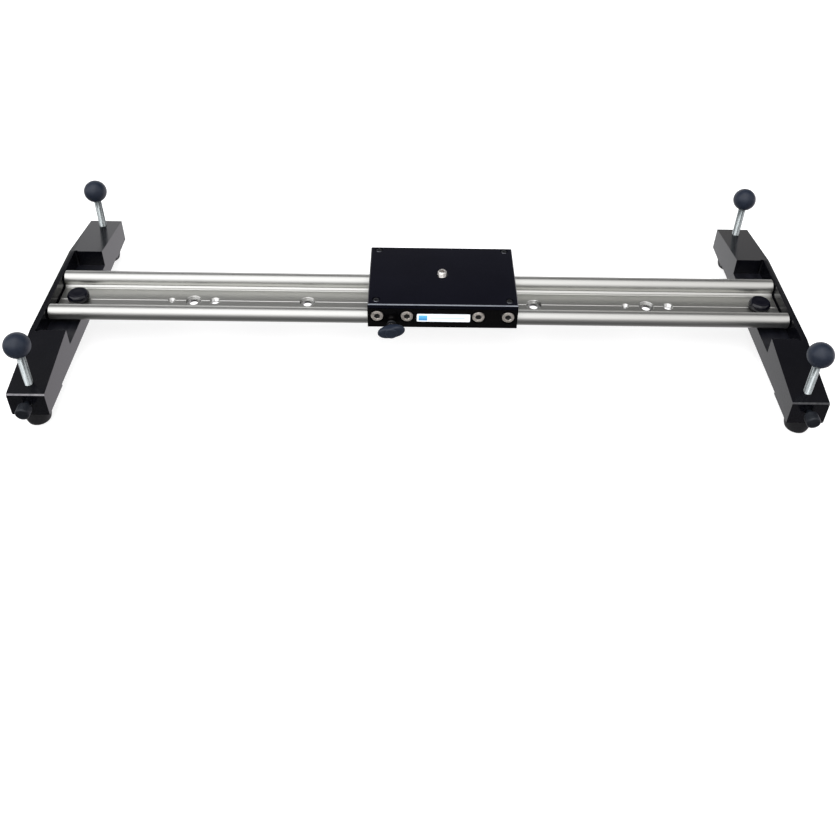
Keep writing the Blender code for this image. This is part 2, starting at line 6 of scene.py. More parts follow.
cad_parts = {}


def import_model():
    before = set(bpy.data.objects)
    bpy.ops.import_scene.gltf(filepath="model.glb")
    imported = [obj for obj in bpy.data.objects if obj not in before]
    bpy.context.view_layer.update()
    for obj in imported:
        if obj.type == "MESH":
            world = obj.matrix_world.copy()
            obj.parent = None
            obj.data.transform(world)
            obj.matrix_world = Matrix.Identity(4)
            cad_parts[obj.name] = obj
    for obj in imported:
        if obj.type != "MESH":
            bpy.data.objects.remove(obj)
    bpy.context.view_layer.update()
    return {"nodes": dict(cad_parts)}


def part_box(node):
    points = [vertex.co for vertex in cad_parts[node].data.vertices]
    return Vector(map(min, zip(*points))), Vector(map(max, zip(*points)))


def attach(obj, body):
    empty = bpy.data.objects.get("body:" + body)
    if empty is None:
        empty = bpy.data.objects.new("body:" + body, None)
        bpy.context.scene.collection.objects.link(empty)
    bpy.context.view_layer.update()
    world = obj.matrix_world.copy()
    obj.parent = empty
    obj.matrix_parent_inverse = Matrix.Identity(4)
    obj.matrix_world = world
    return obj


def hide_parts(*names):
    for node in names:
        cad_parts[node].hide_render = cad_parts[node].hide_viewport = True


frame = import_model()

MM = 0.001
scene = bpy.context.scene
COLL = scene.collection
NODES = frame["nodes"]


RAIL_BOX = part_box("rail")
MID_Y = (RAIL_BOX[0].y + RAIL_BOX[1].y) / 2 / MM      # the rail's middle plane; helpers below work from it


def box_mm(node):
    lo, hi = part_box(node)
    off = Vector((0, MID_Y, 0))
    return lo / MM - off, hi / MM - off


def centre_mm(node):
    lo, hi = box_mm(node)
    return (lo + hi) / 2


# ------------------------------------------------------------------ materials
def new_mat(name):
    m = bpy.data.materials.new(name)
    m.use_nodes = True
    nt = m.node_tree
    for n in list(nt.nodes):
        nt.nodes.remove(n)
    out = nt.nodes.new("ShaderNodeOutputMaterial")
    p = nt.nodes.new("ShaderNodeBsdfPrincipled")
    nt.links.new(p.outputs["BSDF"], out.inputs["Surface"])
    return m, nt, p


def coords(nt, scale=(1, 1, 1), rot=(0, 0, 0), kind="Object"):
    tc = nt.nodes.new("ShaderNodeTexCoord")
    mp = nt.nodes.new("ShaderNodeMapping")
    mp.inputs["Scale"].default_value = scale
    mp.inputs["Rotation"].default_value = rot
    nt.links.new(tc.outputs[kind], mp.inputs["Vector"])
    return mp.outputs["Vector"]


def noise(nt, vec, scale, detail=4.0, rough=0.55, distort=0.0):
    n = nt.nodes.new("ShaderNodeTexNoise")
    n.inputs["Scale"].default_value = scale
    n.inputs["Detail"].default_value = detail
    n.inputs["Roughness"].default_value = rough
    n.inputs["Distortion"].default_value = distort
    nt.links.new(vec, n.inputs["Vector"])
    return n.outputs["Fac"]


def ramp(nt, fac, stops, interp="LINEAR"):
    r = nt.nodes.new("ShaderNodeValToRGB")
    r.color_ramp.interpolation = interp
    e = r.color_ramp.elements
    while len(e) < len(stops):
        e.new(0.5)
    for el, (pos, col) in zip(e, stops):
        el.position = pos
        el.color = (*col, 1.0) if len(col) == 3 else col
    nt.links.new(fac, r.inputs["Fac"])
    return r.outputs["Color"]


def rng(nt, fac, lo, hi, a=0.0, b=1.0):
    r = nt.nodes.new("ShaderNodeMapRange")
    r.inputs["From Min"].default_value = a
    r.inputs["From Max"].default_value = b
    r.inputs["To Min"].default_value = lo
    r.inputs["To Max"].default_value = hi
    nt.links.new(fac, r.inputs["Value"])
    return r.outputs["Result"]


def mix_col(nt, fac, a, b, mode="MIX"):
    m = nt.nodes.new("ShaderNodeMix")
    m.data_type = "RGBA"
    m.blend_type = mode
    f, ia, ib = m.inputs[0], m.inputs[6], m.inputs[7]
    for sock, v in ((f, fac), (ia, a), (ib, b)):
        if isinstance(v, (int, float)):
            sock.default_value = v
        elif isinstance(v, tuple):
            sock.default_value = (*v, 1.0)
        else:
            nt.links.new(v, sock)
    return m.outputs[2]


def math_node(nt, op, a, b=None):
    m = nt.nodes.new("ShaderNodeMath")
    m.operation = op
    for sock, v in ((m.inputs[0], a), (m.inputs[1], b)):
        if v is None:
            continue
        if isinstance(v, (int, float)):
            sock.default_value = v
        else:
            nt.links.new(v, sock)
    return m.outputs[0]


def bump(nt, p, height, strength, dist):
    b = nt.nodes.new("ShaderNodeBump")
    b.inputs["Strength"].default_value = strength
    b.inputs["Distance"].default_value = dist
    nt.links.new(height, b.inputs["Height"])
    nt.links.new(b.outputs["Normal"], p.inputs["Normal"])
    return b


def grain_mat(name, dark, light, rough=(0.3, 0.4), metal=0.0, stretch=(1, 1, 1), scale=900.0, blotch=35.0,
              bump_s=0.15, bump_d=0.00002, ior=1.5, coat=0.0, spec=0.5, scuffs=0.0, scuff_col=(0.2, 0.2, 0.2), rot=(0, 0, 0)):
    """Fine grain plus broad blotches in colour and roughness, with optional sparse scuffs."""
    m, nt, p = new_mat(name)
    v = coords(nt, stretch, rot)
    fine = noise(nt, v, scale, 3.0, 0.6)
    broad = noise(nt, coords(nt), blotch, 4.0, 0.6, 0.3)
    both = math_node(nt, "ADD", math_node(nt, "MULTIPLY", fine, 0.5), math_node(nt, "MULTIPLY", broad, 0.5))
    col = ramp(nt, both, [(0.30, dark), (0.70, light)])
    if scuffs > 0:
        s = noise(nt, coords(nt, (1, 1, 1), (0.3, 0.2, 0.7)), 140.0, 8.0, 0.75, 1.2)
        mask = rng(nt, s, 0.0, scuffs, 0.66, 0.80)
        col = mix_col(nt, mask, col, scuff_col)
    nt.links.new(col, p.inputs["Base Color"])
    nt.links.new(rng(nt, both, rough[0], rough[1], 0.3, 0.7), p.inputs["Roughness"])
    p.inputs["Metallic"].default_value = metal
    p.inputs["IOR"].default_value = ior
    p.inputs["Specular IOR Level"].default_value = spec
    p.inputs["Coat Weight"].default_value = coat
    bump(nt, p, fine, bump_s, bump_d)
    return m


M = {}
# rail: satin anodised, drawn along X
M["rail"] = grain_mat("rail_anodised", (0.55, 0.55, 0.525), (0.63, 0.63, 0.605), (0.34, 0.38), 1.0, (0.004, 1, 1), 2600.0, 3.0, 0.03, 0.0000010)
M["rail_edge"] = grain_mat("rail_cut_edges", (0.74, 0.74, 0.72), (0.90, 0.90, 0.88), (0.16, 0.28), 1.0, (1, 1, 1), 1500.0, 60.0, 0.08, 0.00001)
# painted shade: a darker copy of the rail metal for the walls inside the holes
M["bore"] = grain_mat("rail_bore_walls_painted_shade", (0.38, 0.38, 0.37), (0.54, 0.54, 0.53), (0.34, 0.46), 1.0, (1, 1, 0.2), 1600.0, 120.0, 0.10, 0.00001)
M["leg"] = grain_mat("leg_black_anodised", (0.0012, 0.0013, 0.0024), (0.0034, 0.0035, 0.0052), (0.15, 0.22), 0.0, (1, 1, 1), 1600.0, 28.0, 0.12, 0.00001, ior=1.5, scuffs=0.10, scuff_col=(0.05, 0.05, 0.055))
M["leg_edge"] = grain_mat("leg_edges", (0.012, 0.012, 0.014), (0.07, 0.07, 0.075), (0.24, 0.36), 0.2, (1, 1, 1), 500.0, 90.0, 0.2, 0.00002, ior=1.6)
# painted highlight: brighter chamfer materials for the sloped front end edge of the legs, a lighter copy for the left
# leg and a dimmer one for the right
M["leg_end_edge_dim"] = grain_mat("leg_end_chamfer_painted_highlight_dim", (0.018, 0.018, 0.021), (0.075, 0.075, 0.080), (0.28, 0.42), 0.4, (1, 1, 1), 420.0, 110.0, 0.2, 0.00002)
M["leg_end_edge"] = grain_mat("leg_end_chamfer_painted_highlight", (0.10, 0.10, 0.11), (0.26, 0.25, 0.26), (0.28, 0.42), 0.5, (1, 1, 1), 420.0, 110.0, 0.2, 0.00002)
M["car"] = grain_mat("carriage_black_anodised", (0.0006, 0.0007, 0.0028), (0.0020, 0.0021, 0.0056), (0.12, 0.17), 0.0, (1, 1, 1), 1800.0, 20.0, 0.12, 0.00001, ior=1.42, spec=0.3, scuffs=0.10, scuff_col=(0.14, 0.14, 0.16))
M["bar"] = grain_mat("carriage_bar_black", (0.0005, 0.0004, 0.0004), (0.0014, 0.0012, 0.0012), (0.16, 0.24), 0.0, (0.06, 1, 1), 1500.0, 26.0, 0.14, 0.00001, ior=1.33)
# painted highlight: a brighter metallic copy of the chamfer colour, used only on the top plate's front chamfer where
# it faces the light
M["car_edge"] = grain_mat("carriage_chamfer_painted_highlight", (0.11, 0.12, 0.14), (0.23, 0.245, 0.27), (0.22, 0.36), 0.8, (0.05, 1, 1), 1200.0, 50.0, 0.1, 0.00001)
M["bar_edge"] = grain_mat("carriage_bar_edges", (0.010, 0.010, 0.011), (0.045, 0.045, 0.05), (0.22, 0.34), 0.2, (1, 1, 1), 700.0, 90.0, 0.12, 0.00001)
M["gloss"] = grain_mat("clamp_knob_gloss", (0.0010, 0.0011, 0.0032), (0.0030, 0.0032, 0.0066), (0.07, 0.15), 0.0, (1, 1, 1), 700.0, 60.0, 0.06, 0.00002, ior=1.45, coat=0.1)
M["zinc"] = grain_mat("rod_zinc", (0.42, 0.46, 0.465), (0.62, 0.66, 0.66), (0.20, 0.34), 1.0, (1, 1, 1), 1200.0, 90.0, 0.10, 0.00001)
M["charcoal"] = grain_mat("knob_charcoal", (0.0055, 0.0090, 0.0175), (0.0120, 0.0170, 0.0300), (0.34, 0.46), 0.0, (1, 1, 1), 2400.0, 70.0, 0.35, 0.00003, ior=1.48, spec=0.4)
M["rubber"] = grain_mat("foot_rubber", (0.0035, 0.0036, 0.0048), (0.0080, 0.0082, 0.0100), (0.55, 0.72), 0.0, (1, 1, 1), 1500.0, 60.0, 0.35, 0.00004, ior=1.5)
M["steel"] = grain_mat("thumb_screw_black", (0.004, 0.005, 0.008), (0.013, 0.016, 0.021), (0.30, 0.44), 0.3, (1, 1, 1), 1400.0, 120.0, 0.2, 0.00002)
M["steel_face"] = grain_mat("thumb_screw_face", (0.014, 0.014, 0.016), (0.030, 0.030, 0.033), (0.30, 0.42), 0.4, (1, 1, 1), 1500.0, 120.0, 0.2, 0.00002)
M["steel_rim"] = grain_mat("thumb_screw_rim", (0.07, 0.07, 0.075), (0.16, 0.16, 0.17), (0.25, 0.36), 0.7, (1, 1, 1), 900.0, 120.0, 0.2, 0.00002)
M["screw_dark"] = grain_mat("corner_screw_black", (0.006, 0.0065, 0.008), (0.016, 0.017, 0.020), (0.12, 0.22), 0.3, (1, 1, 1), 1400.0, 160.0, 0.2, 0.00002)
M["nickel"] = grain_mat("screw_nickel_mottled", (0.20, 0.18, 0.155), (0.86, 0.80, 0.73), (0.24, 0.44), 0.7, (1, 1, 1), 560.0, 760.0, 0.5, 0.00005)
# painted shade: a dark copy of the screw metal for the inside of the hex sockets
M["socket"] = grain_mat("screw_socket_painted_shade", (0.006, 0.006, 0.006), (0.020, 0.019, 0.018), (0.35, 0.5), 0.2, (1, 1, 1), 900.0, 300.0, 0.2, 0.00002)
# painted glint: bright metal for the sloped rim of the black corner screw heads
M["glint"] = grain_mat("corner_screw_rim_painted_glint", (0.14, 0.145, 0.16), (0.34, 0.35, 0.38), (0.14, 0.24), 1.0, (1, 1, 1), 1400.0, 160.0, 0.1, 0.00001)
M["stud"] = grain_mat("stud_nickel", (0.60, 0.57, 0.54), (0.86, 0.83, 0.80), (0.20, 0.34), 1.0, (1, 1, 1), 900.0, 240.0, 0.15, 0.00002)
M["polymer"] = grain_mat("liner_polymer", (0.62, 0.55, 0.30), (0.74, 0.67, 0.40), (0.45, 0.6), 0.0, (1, 1, 1), 1600.0, 60.0, 0.25, 0.00003)
M["brass"] = grain_mat("pad_brass", (0.66, 0.49, 0.20), (0.80, 0.63, 0.30), (0.2, 0.34), 1.0, (1, 1, 1), 900.0, 120.0, 0.15, 0.00002)
M["nylon"] = grain_mat("tip_nylon", (0.66, 0.65, 0.60), (0.78, 0.77, 0.72), (0.4, 0.55), 0.0, (1, 1, 1), 1200.0, 80.0, 0.2, 0.00002)


def milled_mat():
    """Black anodised pocket floor with fine end-mill lines running along the leg."""
    m, nt, p = new_mat("pocket_floor_milled")
    v = coords(nt, (1, 0.02, 1))
    lines = noise(nt, v, 900.0, 3.0, 0.65)
    wide = noise(nt, coords(nt, (1, 0.05, 1)), 240.0, 2.0, 0.5)
    both = math_node(nt, "ADD", math_node(nt, "MULTIPLY", lines, 0.5), math_node(nt, "MULTIPLY", wide, 0.5))
    nt.links.new(ramp(nt, both, [(0.36, (0.0010, 0.0012, 0.0026)), (0.64, (0.0050, 0.0054, 0.0088))]), p.inputs["Base Color"])
    nt.links.new(rng(nt, both, 0.28, 0.44, 0.3, 0.7), p.inputs["Roughness"])
    p.inputs["IOR"].default_value = 1.6
    bump(nt, p, both, 0.5, 0.00006)
    return m


M["milled"] = milled_mat()


def label_mat(cx, cz):
    """Pale blank label: a plain blue block at the left and one faint grey-blue bar, no lettering."""
    m, nt, p = new_mat("label_pale")
    tc = nt.nodes.new("ShaderNodeTexCoord")
    sep = nt.nodes.new("ShaderNodeSeparateXYZ")
    nt.links.new(tc.outputs["Object"], sep.inputs["Vector"])
    x, z = sep.outputs["X"], sep.outputs["Z"]

    def inside(value, mid, half, soft=0.00012):
        d = math_node(nt, "ABSOLUTE", math_node(nt, "SUBTRACT", value, mid * MM))
        return rng(nt, d, 1.0, 0.0, half * MM - soft, half * MM + soft)

    def rect(mx, mz, hx, hz):
        return math_node(nt, "MULTIPLY", inside(x, mx, hx), inside(z, mz, hz))

    blue = rect(cx - 20.6, cz - 0.1, 4.3, 3.2)
    bar = rect(cx + 4.4, cz - 0.1, 17.0, 0.75)
    speck = noise(nt, coords(nt), 1400.0, 2.0, 0.5)
    base = ramp(nt, speck, [(0.3, (0.80, 0.86, 0.90)), (0.7, (0.88, 0.92, 0.95))])
    shade = ramp(nt, rng(nt, z, 0.0, 1.0, (cz - 3.4) * MM, (cz + 3.2) * MM), [(0.0, (0.02, 0.20, 0.52)), (1.0, (0.12, 0.52, 0.80))])
    c1 = mix_col(nt, bar, base, (0.56, 0.68, 0.74))
    c2 = mix_col(nt, blue, c1, shade)
    nt.links.new(c2, p.inputs["Base Color"])
    nt.links.new(rng(nt, speck, 0.26, 0.38, 0.3, 0.7), p.inputs["Roughness"])
    bump(nt, p, speck, 0.08, 0.00001)
    return m


# ------------------------------------------------------------------ mesh helpers
def loft(bm, rings, cap=True, mat=0):
    rows = [[bm.verts.new(p) for p in ring] for ring in rings]
    n = len(rows[0])
    for a, b in zip(rows, rows[1:]):
        for i in range(n):
            j = (i + 1) % n
            f = bm.faces.new((a[i], a[j], b[j], b[i]))
            f.material_index = mat
    if cap:
        bm.faces.new(list(reversed(rows[0])))
        bm.faces.new(rows[-1])
    return rows


def prism(bm, pts, axis, lo, hi):
    def place(p, t):
        return {"X": (t, p[0], p[1]), "Y": (p[0], t, p[1]), "Z": (p[0], p[1], t)}[axis]
    loft(bm, [[place(p, lo) for p in pts], [place(p, hi) for p in pts]])


def cube(bm, x0, x1, y0, y1, z0, z1):
    prism(bm, [(y0, z0), (y1, z0), (y1, z1), (y0, z1)], "X", x0, x1)


def lathe(bm, profile, centre, axis="Z", segs=64, radial=None, mats=None, ring=False):
    """Revolve (radius, height[, wobble]) points; radial(angle, height) adds to the radius where wobble is set."""
    def place(r, h, a):
        u, v = r * math.cos(a), r * math.sin(a)
        p = {"Z": (u, v, h), "Y": (u, h, v), "X": (h, u, v)}[axis]
        return tuple(c + q for c, q in zip(centre, p))
    rows = []
    for pt in profile:
        r, h = pt[0], pt[1]
        w = pt[2] if len(pt) > 2 else 0.0
        if r < 1e-6:
            rows.append([bm.verts.new(place(0, h, 0))])
        else:
            rows.append([bm.verts.new(place(r + (w * radial(2 * math.pi * i / segs, h) if w and radial else 0.0), h, 2 * math.pi * i / segs))
                         for i in range(segs)])
    pairs = list(zip(rows, rows[1:]))
    if ring:
        pairs.append((rows[-1], rows[0]))
    for k, (a, b) in enumerate(pairs):
        mi = mats[k] if mats else 0
        for i in range(segs):
            j = (i + 1) % segs
            if len(a) == 1:
                f = bm.faces.new((a[0], b[j], b[i]))
            elif len(b) == 1:
                f = bm.faces.new((a[i], a[j], b[0]))
            else:
                f = bm.faces.new((a[i], a[j], b[j], b[i]))
            f.material_index = mi
    if not ring:
        if len(rows[0]) > 1:
            bm.faces.new(list(reversed(rows[0])))
        if len(rows[-1]) > 1:
            bm.faces.new(rows[-1])


def arc(cx, cy, r, a0, a1, n):
    return [(cx + r * math.cos(math.radians(a0 + (a1 - a0) * i / n)), cy + r * math.sin(math.radians(a0 + (a1 - a0) * i / n))) for i in range(n + 1)]


def hexagon(af, cx=0.0, cy=0.0, turn=0.0):
    r = af / math.sqrt(3)
    return [(cx + r * math.cos(turn + math.pi * i / 3), cy + r * math.sin(turn + math.pi * i / 3)) for i in range(6)]


def to_mesh(bm, name):
    bmesh.ops.recalc_face_normals(bm, faces=bm.faces)
    bmesh.ops.transform(bm, matrix=Matrix.Scale(MM, 4) @ Matrix.Translation((0, MID_Y, 0)), verts=bm.verts)
    me = bpy.data.meshes.new(name)
    bm.to_mesh(me)
    bm.free()
    return me


def solid(bm, name, mats, cutters=(), bevel=0.0, bevel_mat=-1, segs=2, angle=35.0, sharp=40.0, paint=None):
    """Object from a bmesh, cut by closed bodies, with its own cut result kept as real mesh, then bevelled."""
    ob = bpy.data.objects.new(name, to_mesh(bm, name))
    COLL.objects.link(ob)
    for k, c in enumerate(cutters):
        co = bpy.data.objects.new("%s_cut%d" % (name, k), to_mesh(c, "%s_cut%d" % (name, k)))
        COLL.objects.link(co)
        md = ob.modifiers.new("cut%d" % k, "BOOLEAN")
        md.operation, md.solver, md.object = "DIFFERENCE", "EXACT", co
    if cutters:
        bpy.context.view_layer.update()
        dg = bpy.context.evaluated_depsgraph_get()
        me = bpy.data.meshes.new_from_object(ob.evaluated_get(dg))
        used = [md.object for md in ob.modifiers]
        ob.modifiers.clear()
        ob.data = me
        for co in used:
            bpy.data.objects.remove(co, do_unlink=True)
        b2 = bmesh.new()
        b2.from_mesh(me)
        bmesh.ops.remove_doubles(b2, verts=b2.verts, dist=1e-6)
        bmesh.ops.dissolve_degenerate(b2, dist=1e-6, edges=b2.edges)
        b2.to_mesh(me)
        b2.free()
    ob.data.materials.clear()
    for m in mats:
        ob.data.materials.append(m)
    if paint:
        for poly in ob.data.polygons:
            mi = paint(poly.center / MM - Vector((0, MID_Y, 0)), poly.normal)
            if mi is not None:
                poly.material_index = mi
    ob.data.shade_smooth()
    if bevel > 0:
        bv = ob.modifiers.new("edges", "BEVEL")
        bv.width = bevel * MM
        bv.segments = segs
        bv.limit_method = "ANGLE"
        bv.angle_limit = math.radians(angle)
        bv.miter_outer = "MITER_ARC"
        bv.use_clamp_overlap = True
        bv.material = bevel_mat
        wn = ob.modifiers.new("normals", "WEIGHTED_NORMAL")
        wn.weight = 90
        wn.keep_sharp = False
    else:
        ob.data.set_sharp_from_angle(angle=math.radians(sharp))
    return ob


def put(ob, body, slot, *nodes):
    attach(ob, body)
    if nodes:
        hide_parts(*nodes)
    return ob


def thread_rod(bm, centre, r, pitch, lo, hi, axis="Z", segs=28, depth=None, ends=(0.8, 0.8), right=True):
    """Rod with a true helical thread as one closed skin, tapered to its root at both ends."""
    depth = depth if depth else 0.61 * pitch
    per = 6
    steps = int((hi - lo) / pitch * per)
    rings = []
    def place(rr, h, a):
        u, v = rr * math.cos(a), rr * math.sin(a)
        p = {"Z": (u, v, h), "Y": (u, h, v)}[axis]
        return tuple(c + q for c, q in zip(centre, p))
    for k in range(steps + 1):
        h = lo + (hi - lo) * k / steps
        fade = min(1.0, (h - lo) / ends[0] if ends[0] else 1.0, (hi - h) / ends[1] if ends[1] else 1.0)
        ring = []
        for i in range(segs):
            a = 2 * math.pi * i / segs
            ph = ((h - lo) / pitch - (a if right else -a) / (2 * math.pi)) % 1.0
            t = 1.0 - abs(2 * ph - 1.0)             # 0 at the root, 1 at the crest
            t = min(1.0, max(0.0, (t - 0.14) / 0.68))
            rr = r - depth * (1 - t * fade)
            ring.append(place(rr, h, a))
        rings.append(ring)
    loft(bm, rings)


rail_lo, rail_hi = box_mm("rail")
TUBE_R = 8.0
T = rail_hi.z - TUBE_R                          # height of the guide tube axes
TUBE_Y = rail_hi.y - TUBE_R
RAIL_X = rail_hi.x


# ------------------------------------------------------------------ rail
def make_rail():
    bottom, web, flat, half_w = rail_lo.z - T, -6.24, 18.4, 27.0
    half = [(half_w - 0.4, bottom), (half_w, bottom + 0.4)]
    a_out = -math.degrees(math.acos((half_w - TUBE_Y) / TUBE_R))
    half += [(half_w, TUBE_R * math.sin(math.radians(a_out)) - 0.25)]
    half += arc(TUBE_Y, 0.0, TUBE_R, -101.0, 209.0, 84)
    e = half[-1]
    # hollow fillet down to a small rounded lip, then the flat web
    lip = (flat + 0.75, web + 0.62)
    for i in range(1, 8):
        t = i / 8.0
        half.append((e[0] + (lip[0] - e[0]) * t, lip[1] + (e[1] - lip[1]) * (1 - t) ** 2.2))
    half += [lip, (flat + 0.42, web + 0.58), (flat + 0.14, web + 0.36), (flat, web)]
    half += [(0.48, web), (0.16, web - 0.30), (0.0, web - 0.34)]
    left = [(-y, z) for y, z in reversed(half[:-1])]
    outline = [(y, z + T) for y, z in half + left]
    bm = bmesh.new()
    cuts_x = [RAIL_X, RAIL_X - 1.2, 352.0, 348.0, 276.0, 252.0, 228.0, 205.0, 132.0, 108.0, 12.0]
    xs = [-x for x in cuts_x] + list(reversed(cuts_x))
    loft(bm, [[(x, y, z) for y, z in outline] for x in xs])
    cut = bmesh.new()
    top = T + web
    for i in range(-3, 4):
        x = i * 120.0
        if abs(i) == 3:
            lathe(cut, [(4.6, T + bottom - 2), (4.6, top + 2)], (x, 0, 0), "Z", 40)
        else:
            lathe(cut, [(4.6, T + bottom - 2), (4.6, top - 2.2), (7.75, top - 2.2), (7.75, top - 0.5), (8.3, top + 0.05), (8.3, top + 2)], (x, 0, 0), "Z", 64)
    for x, r in ((-262.9, 3.18), (-217.4, 4.6), (217.5, 3.18), (263.1, 4.6)):
        prof = [(r, T + bottom - 2), (r, T + bottom + 0.3)]
        n = 5
        for k in range(n):
            z = T + bottom + 0.6 + k * 0.75
            prof += [(r, z), (r - 0.42, z + 0.36)]
        prof += [(r, top - 0.75), (r + 0.95, top + 0.05), (r + 0.95, top + 2)]
        lathe(cut, prof, (x, 0, 0), "Z", 48)

    seat = bmesh.new()
    for k in (-1, 1):
        a, b = sorted((k * 350.6, k * (RAIL_X + 2)))
        cube(seat, a, b, -half_w - 2, half_w + 2, T + bottom - 1, T + bottom + 0.4)

    def paint(c, n):
        if abs(n.x) > 0.9 and abs(abs(c.x) - RAIL_X) < 0.1:
            return 1
        # painted shade: hole walls get the darker bore material; hole floors get the bright edge material
        if abs(c.y) < 9.5 and abs(c.x) > 60.0 and c.z < top - 0.6 and c.z > T + bottom + 0.1:
            return 2 if abs(n.z) < 0.6 else 1
        return None
    ob = solid(bm, "rail_body", [M["rail"], M["rail_edge"], M["bore"]], [cut, seat], 0.22, 1, 2, 40.0, paint=paint)
    return put(ob, "base", "anodised_silver", "rail")


# ------------------------------------------------------------------ legs
def make_leg(side):
    s = -1 if side == "left" else 1
    lo, hi = box_mm("leg_" + side)
    xi, xo = (hi.x, lo.x) if s < 0 else (lo.x, hi.x)
    ye, zb, zt = hi.y, lo.z, hi.z
    end_top, pk_y, floor, wall = T - 4.8, 67.6, T - 11.1, s * 381.4
    c = 1.2
    slope = (zt - end_top) / (ye - pk_y)
    out = [(-ye, zb), (ye, zb), (ye, end_top), (pk_y, zt), (-pk_y, zt), (-(ye - c), end_top + slope * c), (-ye, end_top - c)]
    bm = bmesh.new()
    a, b = sorted((xi, xo))
    prism(bm, out, "X", a, b)
    cuts = []
    pk = bmesh.new()
    a, b = sorted((xi - s * 5, wall))
    cube(pk, a, b, -pk_y, pk_y, floor, zt + 5)
    cuts.append(pk)
    rl = bmesh.new()
    for y in (-pk_y, pk_y):
        lathe(rl, [(2.2, floor + 0.4), (2.2, zt + 5)], (wall - s * 1.4, y - math.copysign(0.2, y), 0), "Z", 40)
    cuts.append(rl)
    h = bmesh.new()
    fx = s * 369.6
    for row in ("front", "rear"):
        y = centre_mm("levelling_rod_%s_%s" % (row, side)).y
        zt_y = zt - slope * (abs(y) - pk_y)
        lathe(h, [(5.1, zb - 3), (5.1, zb + 0.1), (4.35, zb + 0.9), (4.35, zt_y - 1.5), (4.35, zt + 3)], (fx, y, 0), "Z", 48)
    lathe(h, [(3.4, floor - 14.0), (3.4, floor + 3)], (s * 360.0, 0, 0), "Z", 32)
    cuts.append(h)
    t = bmesh.new()
    lathe(t, [(3.35, -136.0), (3.35, -(ye - 0.5)), (3.9, -(ye + 0.05)), (3.9, -(ye + 3))], (fx, 0, T - 16.0), "Y", 40)
    cuts.append(t)
    ch = bmesh.new()
    e = xo
    pts = [(e - s * 1.6, zb - 0.5), (e + s * 0.5, zb + 1.6), (e + s * 0.5, zb - 0.5)]
    prism(ch, pts, "Y", -ye - 2, ye + 2)
    cuts.append(ch)
    un = bmesh.new()
    a, b = sorted((xi - s * 3, xo + s * 3))
    cube(un, a, b, -107.0, 107.0, zb - 3, zb + 2.3)
    cuts.append(un)

    def paint(cc, n):
        if abs(cc.z - floor) < 0.05 and n.z > 0.9 and abs(cc.y) < pk_y + 3:
            return 2
        # painted highlight: the sloped front end chamfer gets the bright end chamfer material (index 3)
        if cc.y < -(ye - c) and 0.3 < abs(n.y) < 0.95 and n.z > 0.3:
            return 3
        return 0
    ob = solid(bm, "leg_%s_body" % side, [M["leg"], M["leg_edge"], M["milled"], M["leg_end_edge" if s < 0 else "leg_end_edge_dim"]], cuts, 0.30, 1, 2, 40.0, paint=paint)
    return put(ob, "base", "anodised_black", "leg_" + side)


# ------------------------------------------------------------------ end clamps
def make_clamp(side):
    cx = centre_mm("clamp_knob_" + side).x
    k0, k1 = box_mm("clamp_knob_" + side)[0].z, box_mm("clamp_knob_" + side)[1].z
    w0, w1 = box_mm("clamp_washer_" + side)[0].z, box_mm("clamp_washer_" + side)[1].z
    def flutes(a, h):
        return -0.10 * (0.5 - 0.5 * math.cos(11 * a))
    bm = bmesh.new()
    prof = [(0.0, k0 + 4.5), (3.4, k0 + 4.5), (3.4, k0), (9.9, k0, 0.5), (10.6, k0 + 0.25, 0.8), (11.1, k0 + 0.9, 1.0), (11.2, k0 + 1.7, 1.0), (11.2, k1 - 3.6, 1.0),
            (11.0, k1 - 2.9, 1.0), (10.7, k1 - 2.2, 0.9), (10.3, k1 - 1.5, 0.7), (9.9, k1 - 0.95, 0.4), (9.5, k1 - 0.55, 0.2), (9.0, k1 - 0.30), (8.4, k1 - 0.22), (7.4, k1 - 0.30),
            (6.0, k1 - 0.36), (4.0, k1 - 0.30), (2.0, k1 - 0.24), (0.0, k1 - 0.22)]
    lathe(bm, prof, (cx, 0, 0), "Z", 132, flutes)
    ob = solid(bm, "clamp_knob_%s_body" % side, [M["gloss"]], sharp=50)
    put(ob, "clamp_knob_body_" + side, "gloss_black", "clamp_knob_" + side)
    bm = bmesh.new()
    lathe(bm, [(3.35, w0), (8.7, w0), (9.0, w0 + 0.25), (9.0, w1 - 0.25), (8.7, w1), (3.35, w1)], (cx, 0, 0), "Z", 64, ring=True)
    ob = solid(bm, "clamp_washer_%s_body" % side, [M["steel"]])
    put(ob, "clamp_washer_body_" + side, "black_steel", "clamp_washer_" + side)
    blo, bhi = box_mm("clamp_bolt_" + side)
    bm = bmesh.new()
    thread_rod(bm, (cx, 0, 0), 3.0, 1.0, blo.z, bhi.z, "Z", 24)
    ob = solid(bm, "clamp_bolt_%s_thread" % side, [M["steel"]], sharp=30)
    put(ob, "clamp_knob_body_" + side, "black_steel", "clamp_bolt_" + side)


